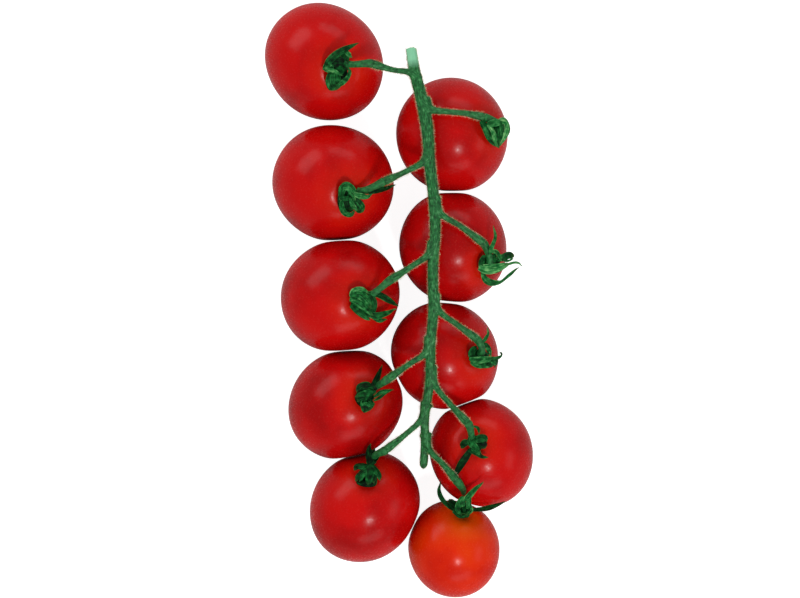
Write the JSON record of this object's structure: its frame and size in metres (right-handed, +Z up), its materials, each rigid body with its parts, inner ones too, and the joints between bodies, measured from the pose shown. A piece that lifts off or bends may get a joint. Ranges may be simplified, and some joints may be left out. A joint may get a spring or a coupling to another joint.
{
  "type": "truss of tomatoes",
  "caption": "Lying truss of ripe cherry tomatoes: round red fruits in two rows on stalks along a green main stem, each under a curled calyx, the last one orange.",
  "frame": {"origin": "on the surface that the truss lies on, under the middle of its box", "axes": "+Y along the truss towards the cut end of the main stem, +X across it towards the shorter row of fruits, +Z up"},
  "size_m": [0.0748, 0.1664, 0.0375],
  "materials": {
    "red_skin": "ripe tomato skin, thin and waxy, satin to glossy",
    "orange_skin": "nearly ripe tomato skin, thin and waxy, satin to glossy",
    "green_stem": "fresh green stem, dull, with a down of fine pale hairs",
    "green_calyx": "fresh leafy green, dull, darker in the folds"
  },
  "bodies": {
    "root": {"main_stem": "green_stem", "tomato_1": "red_skin", "calyx_1": "green_calyx", "tomato_2": "red_skin", "calyx_2": "green_calyx", "tomato_3": "red_skin", "calyx_3": "green_calyx", "tomato_4": "red_skin", "calyx_4": "green_calyx", "tomato_5": "red_skin", "calyx_5": "green_calyx", "tomato_6": "red_skin", "calyx_6": "green_calyx", "tomato_7": "red_skin", "calyx_7": "green_calyx", "tomato_8": "red_skin", "calyx_8": "green_calyx", "tomato_9": "red_skin", "calyx_9": "green_calyx", "tomato_10": "orange_skin", "calyx_10": "green_calyx"}
  },
  "joints": []
}
